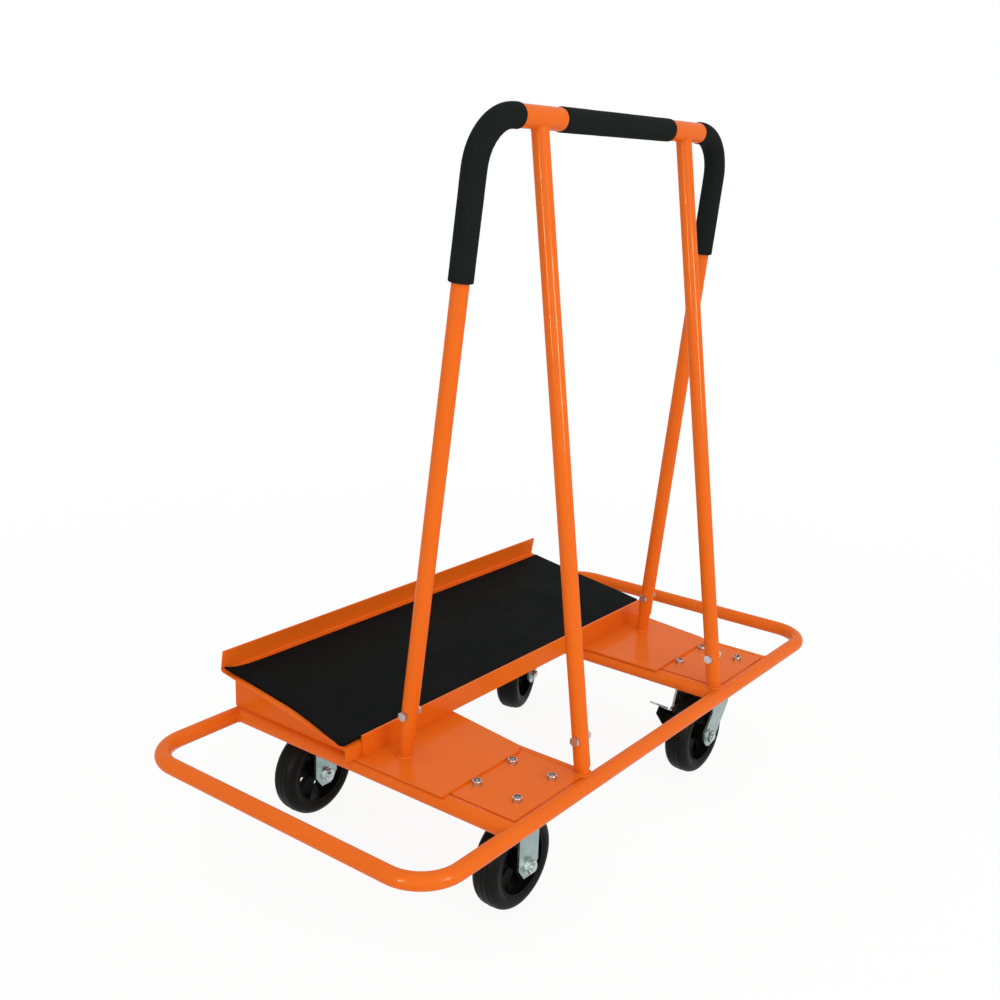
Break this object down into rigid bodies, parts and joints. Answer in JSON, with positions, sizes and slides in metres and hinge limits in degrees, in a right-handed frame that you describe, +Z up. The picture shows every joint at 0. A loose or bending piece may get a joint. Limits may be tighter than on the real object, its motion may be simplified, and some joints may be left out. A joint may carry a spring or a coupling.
{
  "type": "drywall cart",
  "caption": "Tube-frame drywall cart with a bumper loop, sloped matted tray with a back lip, bolted A-frame with foam grips, and fixed and braked swivel casters.",
  "frame": {"origin": "on the floor below the middle of the bumper loop", "axes": "+X along the length towards the swivel casters, +Y from the A-frame towards the tray, +Z up"},
  "size_m": [1.175, 0.585, 1.14],
  "materials": {
    "orange_powder_coat": "semi-gloss powder coat on steel",
    "mat_rubber": "matt ribbed rubber",
    "grip_foam": "closed-cell foam",
    "zinc_plate": "bright zinc plate on pressed steel",
    "bright_steel": "zinc-plated fasteners",
    "nylon": "dark nylon",
    "tyre_rubber": "moulded solid rubber",
    "wheel_plastic": "moulded black plastic",
    "lever_plastic": "hard black plastic"
  },
  "bodies": {
    "frame": {"bumper_loop": "orange_powder_coat", "cross_tube_left_outer": "orange_powder_coat", "cross_tube_left_inner": "orange_powder_coat", "cross_tube_right_inner": "orange_powder_coat", "cross_tube_right_outer": "orange_powder_coat", "caster_deck_front_left": "orange_powder_coat", "caster_deck_back_left": "orange_powder_coat", "caster_deck_front_right": "orange_powder_coat", "caster_deck_back_right": "orange_powder_coat", "deck_plate_left": "orange_powder_coat", "deck_plate_right": "orange_powder_coat", "stop_bar": "orange_powder_coat", "tray": "orange_powder_coat", "gusset_left": "orange_powder_coat", "gusset_right": "orange_powder_coat", "tray_mat": "mat_rubber", "upright_spigots": "orange_powder_coat", "front_spigots": "orange_powder_coat", "upright": "orange_powder_coat", "front_leg_left": "orange_powder_coat", "front_leg_right": "orange_powder_coat", "tee_sleeve_left": "orange_powder_coat", "tee_sleeve_right": "orange_powder_coat", "grip_left": "grip_foam", "grip_middle": "grip_foam", "grip_right": "grip_foam", "leg_bolts": "bright_steel", "leg_nuts": "bright_steel", "caster_bolts": "bright_steel", "caster_nuts": "bright_steel", "nut_inserts": "nylon", "rigid_housing_front": "zinc_plate", "rigid_housing_back": "zinc_plate", "rigid_axle_bolts": "bright_steel", "rigid_axle_nuts": "bright_steel", "swivel_plate_front": "zinc_plate", "swivel_plate_back": "zinc_plate", "kingpin_front": "bright_steel", "kingpin_back": "bright_steel"},
    "front_left_wheel": {"tyre_front_left": "tyre_rubber", "wheel_centre_front_left": "wheel_plastic"},
    "back_left_wheel": {"tyre_back_left": "tyre_rubber", "wheel_centre_back_left": "wheel_plastic"},
    "front_caster": {"swivel_fork_front": "zinc_plate", "swivel_axle_front": "bright_steel", "swivel_axle_nut_front": "bright_steel", "brake_pin_front": "bright_steel"},
    "front_brake": {"brake_lever_front": "lever_plastic", "brake_pedal_front": "zinc_plate"},
    "front_right_wheel": {"tyre_front_right": "tyre_rubber", "wheel_centre_front_right": "wheel_plastic"},
    "back_caster": {"swivel_fork_back": "zinc_plate", "swivel_axle_back": "bright_steel", "swivel_axle_nut_back": "bright_steel", "brake_pin_back": "bright_steel"},
    "back_brake": {"brake_lever_back": "lever_plastic", "brake_pedal_back": "zinc_plate"},
    "back_right_wheel": {"tyre_back_right": "tyre_rubber", "wheel_centre_back_right": "wheel_plastic"}
  },
  "joints": [
    {"name": "front_left_wheel_spin", "type": "hinge", "parent": "frame", "child": "front_left_wheel", "pos_m": [-0.2965, -0.208, 0.075], "axis": [0, 1, 0], "continuous": true},
    {"name": "back_left_wheel_spin", "type": "hinge", "parent": "frame", "child": "back_left_wheel", "pos_m": [-0.2965, 0.208, 0.075], "axis": [0, 1, 0], "continuous": true},
    {"name": "front_caster_swivel", "type": "hinge", "parent": "frame", "child": "front_caster", "pos_m": [0.2965, -0.208, 0.185], "axis": [0, 0, 1], "continuous": true},
    {"name": "front_right_wheel_spin", "type": "hinge", "parent": "front_caster", "child": "front_right_wheel", "pos_m": [0.2585, -0.208, 0.075], "axis": [0, 1, 0], "continuous": true},
    {"name": "front_brake_press", "type": "hinge", "parent": "front_caster", "child": "front_brake", "pos_m": [0.2285, -0.183, 0.115], "axis": [0, 1, 0], "range_deg": [-8, 0]},
    {"name": "back_caster_swivel", "type": "hinge", "parent": "frame", "child": "back_caster", "pos_m": [0.2965, 0.208, 0.185], "axis": [0, 0, 1], "continuous": true},
    {"name": "back_right_wheel_spin", "type": "hinge", "parent": "back_caster", "child": "back_right_wheel", "pos_m": [0.26036, 0.19626, 0.075], "axis": [-0.309, 0.9511, 0], "continuous": true},
    {"name": "back_brake_press", "type": "hinge", "parent": "back_caster", "child": "back_brake", "pos_m": [0.2241, 0.21076, 0.115], "axis": [-0.309, 0.9511, 0], "range_deg": [-8, 0]}
  ]
}
